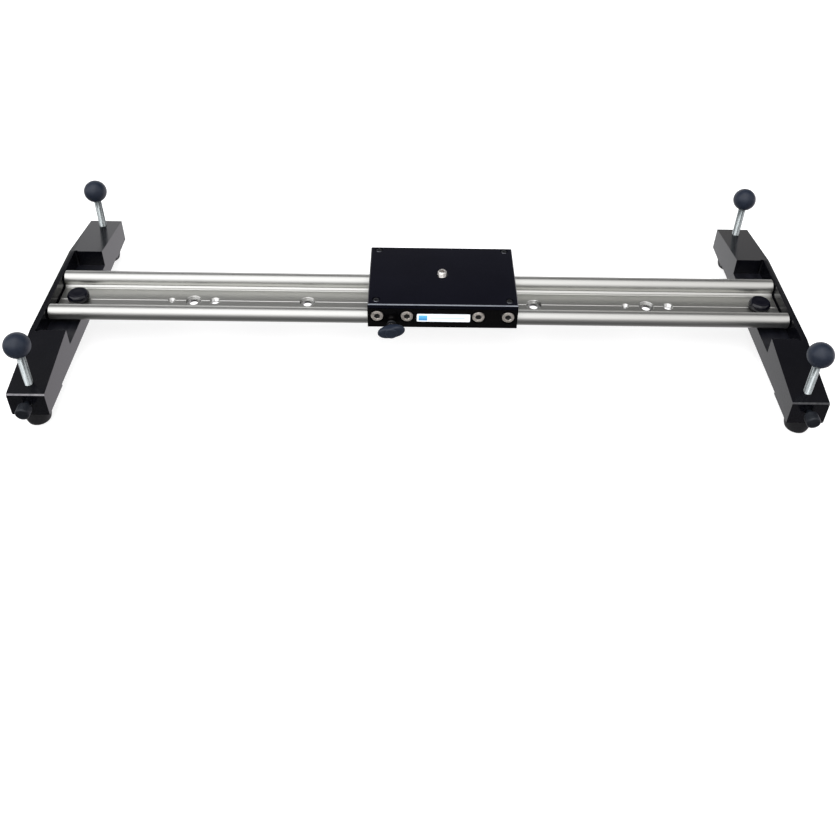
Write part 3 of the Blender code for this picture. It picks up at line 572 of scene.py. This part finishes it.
# ------------------------------------------------------------------ feet
def make_foot(row, col):
    g = row + "_" + col
    c = centre_mm("levelling_rod_" + g)
    x, y = c.x, c.y
    rlo, rhi = box_mm("levelling_rod_" + g)
    bm = bmesh.new()
    thread_rod(bm, (x, y, 0), 4.0, 1.25, rlo.z, rhi.z, "Z", 28, depth=0.62)
    ob = solid(bm, "levelling_rod_%s_thread" % g, [M["zinc"]], sharp=25)
    put(ob, "foot_rod_" + g, "zinc", "levelling_rod_" + g)
    # ball knob
    blo, bhi = box_mm("ball_knob_" + g)
    R = (bhi.x - blo.x) / 2
    b = bhi.z - R
    a0 = math.radians(-61)
    prof = [(0.0, b - 1.2), (4.45, b - 1.2), (4.45, b + R * math.sin(a0) + 0.35), (4.75, b + R * math.sin(a0)), (5.55, b + R * math.sin(a0))]
    n = 44
    a1 = math.radians(-60.5)
    for i in range(n + 1):
        a = a1 + (math.pi / 2 - a1) * i / n
        seam = -0.05 if abs(a) < 0.03 else 0.0
        prof.append((max(0.0, (R + seam) * math.cos(a)) if i < n else 0.0, b + R * math.sin(a)))
    bm = bmesh.new()
    lathe(bm, prof, (x, y, 0), "Z", 80)
    ob = solid(bm, "ball_knob_%s_body" % g, [M["charcoal"]], sharp=35)
    put(ob, "foot_rod_" + g, "charcoal_plastic", "ball_knob_" + g)
    # rubber foot
    plo, phi = box_mm("foot_pad_" + g)
    top = phi.z
    prof = [(0.0, 0.6), (5.4, 0.6), (5.8, 0.0), (7.7, 0.0), (8.7, 0.25), (9.7, 1.1)]
    n = 22
    for i in range(1, n):
        t = i / n
        z = 1.1 + (top - 1.1 - 0.7) * t
        zz = (z - 10.6) / 11.8
        prof.append((12.5 * math.sqrt(max(0.0, 1 - zz * zz * 0.46)), z))
    prof += [(9.4, top - 0.35), (8.7, top), (4.45, top), (4.45, 9.0), (0.0, 9.0)]
    bm = bmesh.new()
    lathe(bm, prof, (x, y, 0), "Z", 72)
    ob = solid(bm, "foot_pad_%s_body" % g, [M["rubber"]], sharp=40)
    put(ob, "foot_" + g, "rubber", "foot_pad_" + g)
    if row == "rear":
        return
    # knurled thumb screw
    k = -1
    tlo, thi = box_mm("thumb_screw_" + g)
    z = (tlo.z + thi.z) / 2
    s0, k1 = (thi.y, tlo.y) if k < 0 else (tlo.y, thi.y)
    LEN, R = 10.5, 6.8
    k0 = k1 - k * LEN
    def knurl(a, h):
        u = 26 * a / (2 * math.pi)
        w = (h - k0) / 1.64
        p = abs((u + w) % 1.0 - 0.5) + abs((u - w) % 1.0 - 0.5)
        return -0.60 * max(0.0, 0.62 - p)
    prof = [(0.0, s0), (2.5, s0), (3.0, s0 + k * 0.5), (3.0, k0 - k * 0.5), (3.2, k0 - k * 0.2), (3.2, k0), (5.6, k0), (6.1, k0 + k * 0.1)]
    mats = [0] * 7
    n = 30
    for i in range(n + 1):
        h = k0 + k * (0.8 + (LEN - 0.8 - 1.4) * i / n)
        w = 1.0 if 0 < i < n else 0.4
        prof.append((R - 0.02, h, w))
        mats.append(0)
    prof += [(6.35, k1 - k * 0.75), (5.6, k1 - k * 0.12), (5.35, k1), (4.85, k1), (4.6, k1 - k * 0.40), (0.0, k1 - k * 0.45)]
    mats += [2, 2, 2, 2, 1, 1]
    bm = bmesh.new()
    lathe(bm, prof, (x, 0, z), "Y", 156, knurl, mats=mats)
    ob = solid(bm, "thumb_screw_%s_body" % g, [M["steel"], M["steel_face"], M["steel_rim"]], sharp=45)
    put(ob, "thumb_" + g, "black_steel", "thumb_screw_" + g)


# ------------------------------------------------------------------ carriage
def make_carriage():
    plo, phi = box_mm("carriage_top_plate")
    cx = (plo.x + phi.x) / 2
    L, W = (phi.x - plo.x) / 2, (phi.y - plo.y) / 2
    top, under = phi.z, plo.z
    c, sh = 0.9, centre_mm("camera_stud").y
    def rect(d, z):
        return [(cx - L + d, -W + d, z), (cx + L - d, -W + d, z), (cx + L - d, W - d, z), (cx - L + d, W - d, z)]
    bm = bmesh.new()
    loft(bm, [rect(0.25, under), rect(0, under + 0.25), rect(0, top - c), rect(c, top)])
    h = bmesh.new()
    lathe(h, [(5.1, under - 2), (5.1, top - 0.75), (6.2, top + 0.2), (6.2, top + 2)], (cx, sh, 0), "Z", 64)
    for sx in (-1, 1):
        for sy in (-1, 1):
            lathe(h, [(1.9, under - 2), (1.9, top - 3.2), (4.0, top - 3.2), (4.0, top + 2)], (cx + sx * 67.0, sy * 43.2 + sh, 0), "Z", 48)

    # painted highlight: the front top chamfer gets the bright chamfer material (index 1), the side and rear chamfers
    # the dark bar edge material
    def paint(cc, n):
        if 0.3 < n.z < 0.95 and cc.z > top - c - 0.2 and (abs(cc.x - cx) > L - 1.5 or abs(cc.y) > W - 1.5):
            return 1 if n.y < -0.4 else 2
        return 0
    ob = solid(bm, "carriage_top_plate_body", [M["car"], M["car_edge"], M["bar_edge"]], [h], 0.12, -1, 2, 30.0, paint=paint)
    put(ob, "carriage", "carriage_black", "carriage_top_plate")

    for sy, tag in ((-1, "front"), (1, "rear")):
        blo, bhi = box_mm("carriage_%s_bar" % tag)
        bm = bmesh.new()
        cube(bm, blo.x, bhi.x, blo.y, bhi.y, blo.z, bhi.z)
        cuts = []
        h = bmesh.new()
        for i in range(4):
            sc = centre_mm("side_screw_%s_%d" % (tag, i + 1))
            f, d, b = sy * (W + 3), sy * (W - 3.85), sy * (W - 13)
            lathe(h, [(7.4, f), (7.4, d), (4.4, d), (4.4, b)], (sc.x, 0, sc.z), "Y", 72)
        cuts.append(h)
        h = bmesh.new()
        for sx in (-1, 1):
            lathe(h, [(1.65, T + 20.8), (1.65, under + 2)], (cx + sx * 67.0, sy * 43.2 + sh, 0), "Z", 24)
        if sy < 0:
            lc = centre_mm("lock_bush")
            lathe(h, [(3.9, -W - 3), (3.9, -W + 13)], (lc.x, 0, lc.z), "Y", 48)
        cuts.append(h)
        ob = solid(bm, "carriage_%s_bar_body" % tag, [M["bar"], M["bar_edge"]], cuts, 0.28, 1, 2, 40.0)
        put(ob, "carriage", "carriage_black", "carriage_%s_bar" % tag)

        # low-head socket screws
        for i in range(4):
            node = "side_screw_%s_%d" % (tag, i + 1)
            slo, shi = box_mm(node)
            sc = (slo + shi) / 2
            f = slo.y if sy < 0 else shi.y
            b = shi.y if sy < 0 else slo.y
            r = (shi.x - slo.x) / 2
            r = 6.3
            n = 3
            prof = [(0.0, b), (3.5, b), (4.0, b + sy * 0.6), (4.0, f - sy * 3.4), (5.9, f - sy * 3.4), (r, f - sy * 3.0), (r, f - sy * 1.0)]
            prof += [(r - 0.12, f - sy * 0.55), (r - 0.42, f - sy * 0.18), (r - 0.85, f), (0.0, f)]
            bm = bmesh.new()
            def ribs(a, hh):
                return -0.12 * (0.5 + 0.5 * math.cos(48 * a))
            prof[5] = (*prof[5], 1.0)
            prof[6] = (*prof[6], 1.0)
            lathe(bm, prof, (sc.x, 0, sc.z), "Y", 96, ribs)
            hx = bmesh.new()
            turn = 0.3 + 0.45 * i + (0.2 if sy > 0 else 0.0)
            rings = []
            for af, d in ((4.6, 2.6), (5.8, 2.1), (5.8, 0.35), (6.6, -0.1), (6.6, -3.0)):
                rings.append([(p[0], f - sy * d, p[1]) for p in hexagon(af, sc.x, sc.z, turn)])
            loft(hx, rings)

            # painted shade: faces inside the hex socket get the dark socket material
            def inside(cc, nn, q=sc, face=f, way=sy):
                return 1 if math.hypot(cc.x - q.x, cc.z - q.z) < 3.4 and (face - cc.y) * way > 0.2 and (face - cc.y) * way < 2.9 else 0
            ob = solid(bm, node + "_body", [M["nickel"], M["socket"]], [hx], 0.0, sharp=38, paint=inside)
            put(ob, "carriage", "nickel", node)

    # corner screws
    for row, sy in (("front", -1), ("rear", 1)):
        for col, sx in (("left", -1), ("right", 1)):
            node = "top_screw_%s_%s" % (row, col)
            sc = centre_mm(node)
            slo, shi = box_mm(node)
            bm = bmesh.new()
            lathe(bm, [(0.0, slo.z), (1.3, slo.z), (1.3, top - 2.9), (3.55, top - 2.9), (3.6, top - 2.7), (3.6, top - 1.4), (3.35, top - 0.95), (2.9, top - 0.6), (2.3, top - 0.42), (0.0, top - 0.4)],
                  (sc.x, sc.y, 0), "Z", 48)
            hx = bmesh.new()
            rings = [[(p[0], p[1], z) for p in hexagon(af, sc.x, sc.y, 0.4 + 0.5 * sx)] for af, z in ((2.0, top - 2.1), (2.5, top - 1.8), (2.5, top + 2))]
            loft(hx, rings)

            # painted glint: the sloped rim of each corner screw head gets the bright metal material
            def lip(cc, nn, q=sc):
                return 1 if 0.15 < nn.z < 0.9 and math.hypot(cc.x - q.x, cc.y - q.y) > 2.2 else 0
            ob = solid(bm, node + "_body", [M["screw_dark"], M["glint"]], [hx], 0.0, sharp=38, paint=lip)
            put(ob, "carriage", "black_steel", node)

    # camera stud with a real thread, bevelled tip and hex socket
    slo, shi = box_mm("camera_stud")
    bm = bmesh.new()
    tip = shi.z
    r = 4.76
    pitch = 1.5875
    lo = slo.z
    segs, per = 48, 8
    steps = int((tip - lo) / pitch * per)
    rings = []
    for k in range(steps + 1):
        z = lo + (tip - lo) * k / steps
        bevel = max(0.0, z - (tip - 1.5)) * 0.85
        fade = min(1.0, (z - lo) / 1.0, max(0.0, (tip - 1.3 - z) / 0.8))
        ring = []
        for i in range(segs):
            a = 2 * math.pi * i / segs
            ph = ((z - lo) / pitch - a / (2 * math.pi)) % 1.0
            t = min(1.0, max(0.0, (1.0 - abs(2 * ph - 1.0) - 0.12) / 0.6))
            rr = r - 0.62 * (1 - t) * fade - (0.3 if z < lo + 0.2 else 0.0)
            rr = min(rr, r - bevel)
            ring.append((cx + rr * math.cos(a), sh + rr * math.sin(a), z))
        rings.append(ring)
    loft(bm, rings)
    hx = bmesh.new()
    rings = [[(p[0], p[1], z) for p in hexagon(af, cx, sh, 0.2)] for af, z in ((3.0, tip - 3.9), (4.0, tip - 3.4), (4.0, tip - 0.25), (4.5, tip + 0.1), (4.5, tip + 2))]
    loft(hx, rings)
    ob = solid(bm, "camera_stud_body", [M["stud"]], [hx], 0.0, sharp=34)
    put(ob, "carriage", "nickel", "camera_stud")

    # label
    llo, lhi = box_mm("label_plate")
    bm = bmesh.new()
    rr = 1.2
    def outline(d):
        x0, x1, z0, z1 = llo.x + d, lhi.x - d, llo.z + d, lhi.z - d
        return (arc(x1 - rr, z0 + rr, rr, -90, 0, 8) + arc(x1 - rr, z1 - rr, rr, 0, 90, 8) + arc(x0 + rr, z1 - rr, rr, 90, 180, 8) + arc(x0 + rr, z0 + rr, rr, 180, 270, 8))
    rings = [[(p[0], lhi.y, p[1]) for p in outline(0)], [(p[0], llo.y + 0.12, p[1]) for p in outline(0)], [(p[0], llo.y, p[1]) for p in outline(0.12)]]
    loft(bm, rings)
    lc = (llo + lhi) / 2
    ob = solid(bm, "label_plate_body", [label_mat(lc.x, lc.z)], sharp=30)
    put(ob, "carriage", "label", "label_plate")


# ------------------------------------------------------------------ lock
def make_lock():
    blo, bhi = box_mm("lock_bush")
    lc = (blo + bhi) / 2
    x, z = lc.x, lc.z
    f0, f1, inner = blo.y, blo.y + 1.6, bhi.y
    bm = bmesh.new()
    lathe(bm, [(2.85, f0 + 0.3), (3.1, f0), (4.1, f0), (4.5, f0 + 0.22), (4.8, f0 + 0.6), (4.8, f1), (3.5, f1), (3.5, inner), (2.85, inner)], (x, 0, z), "Y", 64, ring=True)
    ob = solid(bm, "lock_bush_body", [M["screw_dark"]], sharp=35)
    put(ob, "carriage", "nickel", "lock_bush")
    slo, shi = box_mm("lock_screw")
    klo, khi = box_mm("lock_knob")
    y0, y1 = khi.y, klo.y
    D = y0 - y1
    bm = bmesh.new()
    thread_rod(bm, (x, 0, z), 2.5, 0.8, slo.y, shi.y, "Y", 24, depth=0.42)
    ob = solid(bm, "lock_screw_thread", [M["stud"]], sharp=30)
    put(ob, "lock_knob_body", "nickel", "lock_screw")
    # collar of the knob's insert: dark steel, with bright nickel only over its last 2.7 mm at the knob, a painted
    # highlight for the glint there
    bm = bmesh.new()
    c0 = f0 - 0.3
    lathe(bm, [(2.2, c0), (3.1, c0), (3.6, c0 - 0.35), (4.1, c0 - 1.3), (4.1, y0 + 2.6), (4.1, y0 + 0.35), (3.9, y0 + 0.3), (2.2, y0 + 0.3)], (x, 0, z), "Y", 64, ring=True)
    ob = solid(bm, "lock_screw_collar", [M["steel"], M["stud"]], sharp=35, paint=lambda cc, nn: 1 if cc.y < y0 + 2.7 else 0)
    put(ob, "lock_knob_body", "nickel")
    turn = math.radians(14)
    def wing(rh, rt, y, n=180):
        ring = []
        for i in range(n):
            a = 2 * math.pi * i / n
            u, v = abs(math.cos(a - turn)), abs(math.sin(a - turn))
            r = rh + (rt - rh) * u ** 3.2 * (1.0 - 0.12 * v)
            ring.append((x + r * math.cos(a), y, z + r * math.sin(a)))
        return ring
    prof = [(3.9, 3.9, 0.0), (4.4, 4.5, 0.12), (5.1, 5.8, 0.7), (5.6, 7.2, 1.4), (5.95, 9.0, 2.05), (6.2, 10.9, 2.8), (6.4, 12.4, 3.6), (6.5, 13.4, 4.5), (6.58, 13.9, 5.5), (6.6, 14.05, 6.4), (6.58, 13.9, 7.4),
            (6.52, 13.4, 8.3), (6.46, 12.4, 9.0), (6.4, 11.0, 9.5), (6.34, 9.2, 9.85), (6.28, 7.6, 10.02), (6.2, 6.6, 10.1), (6.12, 6.15, 10.22), (6.0, 6.0, 10.6), (5.7, 5.7, D - 0.45),
            (5.2, 5.2, D - 0.12), (4.6, 4.6, D), (4.25, 4.25, D - 0.1), (4.05, 4.05, D - 0.3), (2.4, 2.4, D - 0.34), (1.0, 1.0, D - 0.34)]
    bm = bmesh.new()
    k = D / 11.4
    prof = [(a, b, d * k) for a, b, d in prof[:-7]] + prof[-7:]
    loft(bm, [wing(a, b, y0 - d) for a, b, d in prof])
    hole = bmesh.new()
    lathe(hole, [(2.95, y0 + 3), (2.95, y1 + 4.4)], (x, 0, z), "Y", 32)
    ob = solid(bm, "lock_knob_lobed", [M["charcoal"]], [hole], 0.0, sharp=40)
    put(ob, "lock_knob_body", "charcoal_plastic", "lock_knob")


def dress_cad():
    """Hidden working parts keep their own solids, with softened edges and real materials."""
    for n, o in NODES.items():
        key = None
        if n.startswith("bearing_block"):
            key, w, em = "bar", 0.3, "bar_edge"
        elif n.startswith("bearing_liner"):
            key, w, em = "polymer", 0.15, None
        elif n == "camera_stud_nut":
            key, w, em = "zinc", 0.3, None
        elif n == "brake_pad":
            key, w, em = "brass", 0.12, None
        elif n.startswith("thumb_screw_tip"):
            key, w, em = "nylon", 0.2, None
        if key is None:
            continue
        o.data.materials.clear()
        o.data.materials.append(M[key])
        if em:
            o.data.materials.append(M[em])
        for p in o.data.polygons:
            p.material_index = 0
        o.data.shade_smooth()
        b = o.modifiers.new("edges", "BEVEL")
        b.width, b.segments, b.limit_method, b.angle_limit = w * MM, 2, "ANGLE", math.radians(40)
        if em:
            b.material = 1
        wn = o.modifiers.new("normals", "WEIGHTED_NORMAL")
        wn.weight = 90


make_rail()
for s in ("left", "right"):
    make_leg(s)
    make_clamp(s)
    for r in ("front", "rear"):
        make_foot(r, s)
make_carriage()
make_lock()
dress_cad()


# ------------------------------------------------------------------ floor, light, camera
def floor():
    m, nt, p = new_mat("floor_pale")
    n = noise(nt, coords(nt), 3.0, 3.0, 0.5)
    nt.links.new(ramp(nt, n, [(0.3, (0.40, 0.40, 0.40)), (0.7, (0.43, 0.43, 0.43))]), p.inputs["Base Color"])
    nt.links.new(ramp(nt, n, [(0.3, (0.97, 0.97, 0.97)), (0.7, (1.0, 1.0, 1.0))]), p.inputs["Emission Color"])
    p.inputs["Emission Strength"].default_value = 0.80
    p.inputs["Roughness"].default_value = 0.9
    p.inputs["Specular IOR Level"].default_value = 0.1
    bm = bmesh.new()
    n_side = 24
    bmesh.ops.create_grid(bm, x_segments=n_side, y_segments=n_side, size=6.0)
    me = bpy.data.meshes.new("floor")
    bm.to_mesh(me)
    bm.free()
    ob = bpy.data.objects.new("floor", me)
    ob.location.z = -0.0005
    me.materials.append(m)
    COLL.objects.link(ob)
    ob.visible_glossy = False
    # a pale round backdrop beyond the object, only seen directly, so low views have no dark horizon
    bm = bmesh.new()
    rings = []
    for z in (-0.02, 0.6, 2.0, 5.0):
        rings.append([bm.verts.new((5.9 * math.cos(2 * math.pi * i / 96), 5.9 * math.sin(2 * math.pi * i / 96), z)) for i in range(96)])
    for lo_ring, hi_ring in zip(rings, rings[1:]):
        for i in range(96):
            j = (i + 1) % 96
            bm.faces.new((lo_ring[j], lo_ring[i], hi_ring[i], hi_ring[j]))
    me = bpy.data.meshes.new("backdrop")
    bm.to_mesh(me)
    bm.free()
    wall = bpy.data.objects.new("backdrop", me)
    me.materials.append(m)
    COLL.objects.link(wall)
    wall.visible_glossy = wall.visible_diffuse = wall.visible_transmission = wall.visible_shadow = False


def world():
    w = bpy.data.worlds.new("studio")
    scene.world = w
    w.use_nodes = True
    nt = w.node_tree
    for n in list(nt.nodes):
        nt.nodes.remove(n)
    out = nt.nodes.new("ShaderNodeOutputWorld")
    bg = nt.nodes.new("ShaderNodeBackground")
    nt.links.new(bg.outputs[0], out.inputs[0])
    tc = nt.nodes.new("ShaderNodeTexCoord")
    sep = nt.nodes.new("ShaderNodeSeparateXYZ")
    nt.links.new(tc.outputs["Generated"], sep.inputs["Vector"])
    # angle round the rail's own axis: 0 front horizon, 0.25 straight down, 0.5 back horizon, 0.75 overhead, 1 front horizon
    ang = math_node(nt, "ARCTAN2", sep.outputs["Z"], sep.outputs["Y"])
    turn = rng(nt, ang, 0.0, 1.0, -math.pi, math.pi)
    stops = [(-180, 0.28), (-166, 0.14), (-130, 0.10), (-105, 0.20), (-80, 0.42), (-50, 0.80), (0, 0.92), (20, 0.92), (30, 0.34), (39, 0.12), (57, 0.11), (70, 0.45),
             (84, 1.70), (144, 1.75), (159, 1.05), (171, 0.50), (180, 0.28)]
    band = ramp(nt, turn, [((a + 180.0) / 360.0, (v, v, v * 1.02)) for a, v in stops])
    # left to right, once for light from above and once for light coming back up off the ground
    across = rng(nt, sep.outputs["X"], 0.0, 1.0, -0.6, 0.6)
    above = ramp(nt, across, [(0.0, (0.97,) * 3), (0.20, (0.97,) * 3), (0.30, (1.22,) * 3), (0.5, (1.12,) * 3), (0.61, (1.0,) * 3), (0.675, (0.78, 0.77, 0.75)), (0.72, (0.62, 0.61, 0.59)), (0.80, (0.54, 0.53, 0.52)), (1.0, (0.50, 0.50, 0.50))])
    below = ramp(nt, across, [(0.0, (0.80,) * 3), (0.20, (0.85,) * 3), (0.30, (1.22,) * 3), (0.5, (1.12,) * 3), (0.61, (1.0,) * 3), (0.70, (0.9,) * 3), (0.80, (1.20, 1.14, 1.20)), (1.0, (1.42, 1.34, 1.42))])
    side = mix_col(nt, rng(nt, sep.outputs["Z"], 0.0, 1.0, -0.06, 0.06), below, above)
    nt.links.new(mix_col(nt, 1.0, band, side, "MULTIPLY"), bg.inputs["Color"])
    bg.inputs["Strength"].default_value = 1.0


def area(name, loc, target, size, power, color=(1, 1, 1)):
    d = bpy.data.lights.new(name, "AREA")
    d.shape = "RECTANGLE"
    d.size, d.size_y = size
    d.energy = power
    d.color = color
    o = bpy.data.objects.new(name, d)
    o.location = loc
    o.rotation_euler = (Vector(target) - Vector(loc)).to_track_quat("-Z", "Y").to_euler()
    COLL.objects.link(o)
    return o


floor()
world()
soft = area("overhead", (-0.25, -0.20, 2.2), (-0.02, 0.05, 0.0), (3.2, 2.6), 60.0)
soft.visible_glossy = False

# camera at the measured viewing angle; the fit's frame has its zero at the tube axis height
D, el, az, roll, f = 1016.33, math.radians(38.127), math.radians(-1.1526), math.radians(1.4362), 959.04
tx, tz = 6.9975, -5.502
back = Vector((math.sin(az) * math.cos(el), -math.cos(az) * math.cos(el), math.sin(el)))
pos = Vector((tx, 0, tz)) + back * D + Vector((0, MID_Y, T))
right = (-back).cross(Vector((0, 0, 1))).normalized()
up = right.cross(-back)
r2 = right * math.cos(roll) + up * math.sin(roll)
u2 = -right * math.sin(roll) + up * math.cos(roll)
cam_data = bpy.data.cameras.new("camera")
cam_data.sensor_width = 36.0
cam_data.lens = f / 840.0 * 36.0
cam_data.shift_x = (420.0 - 427.41) / 840.0
cam_data.shift_y = (302.90 - 420.0) / 840.0
cam_data.clip_start, cam_data.clip_end = 0.05, 50.0
cam = bpy.data.objects.new("camera", cam_data)
cam.matrix_world = Matrix.Translation(pos * MM) @ Matrix((r2, u2, back)).transposed().to_4x4()
COLL.objects.link(cam)
scene.camera = cam
scene.view_settings.view_transform = "Standard"
scene.view_settings.look = "None"
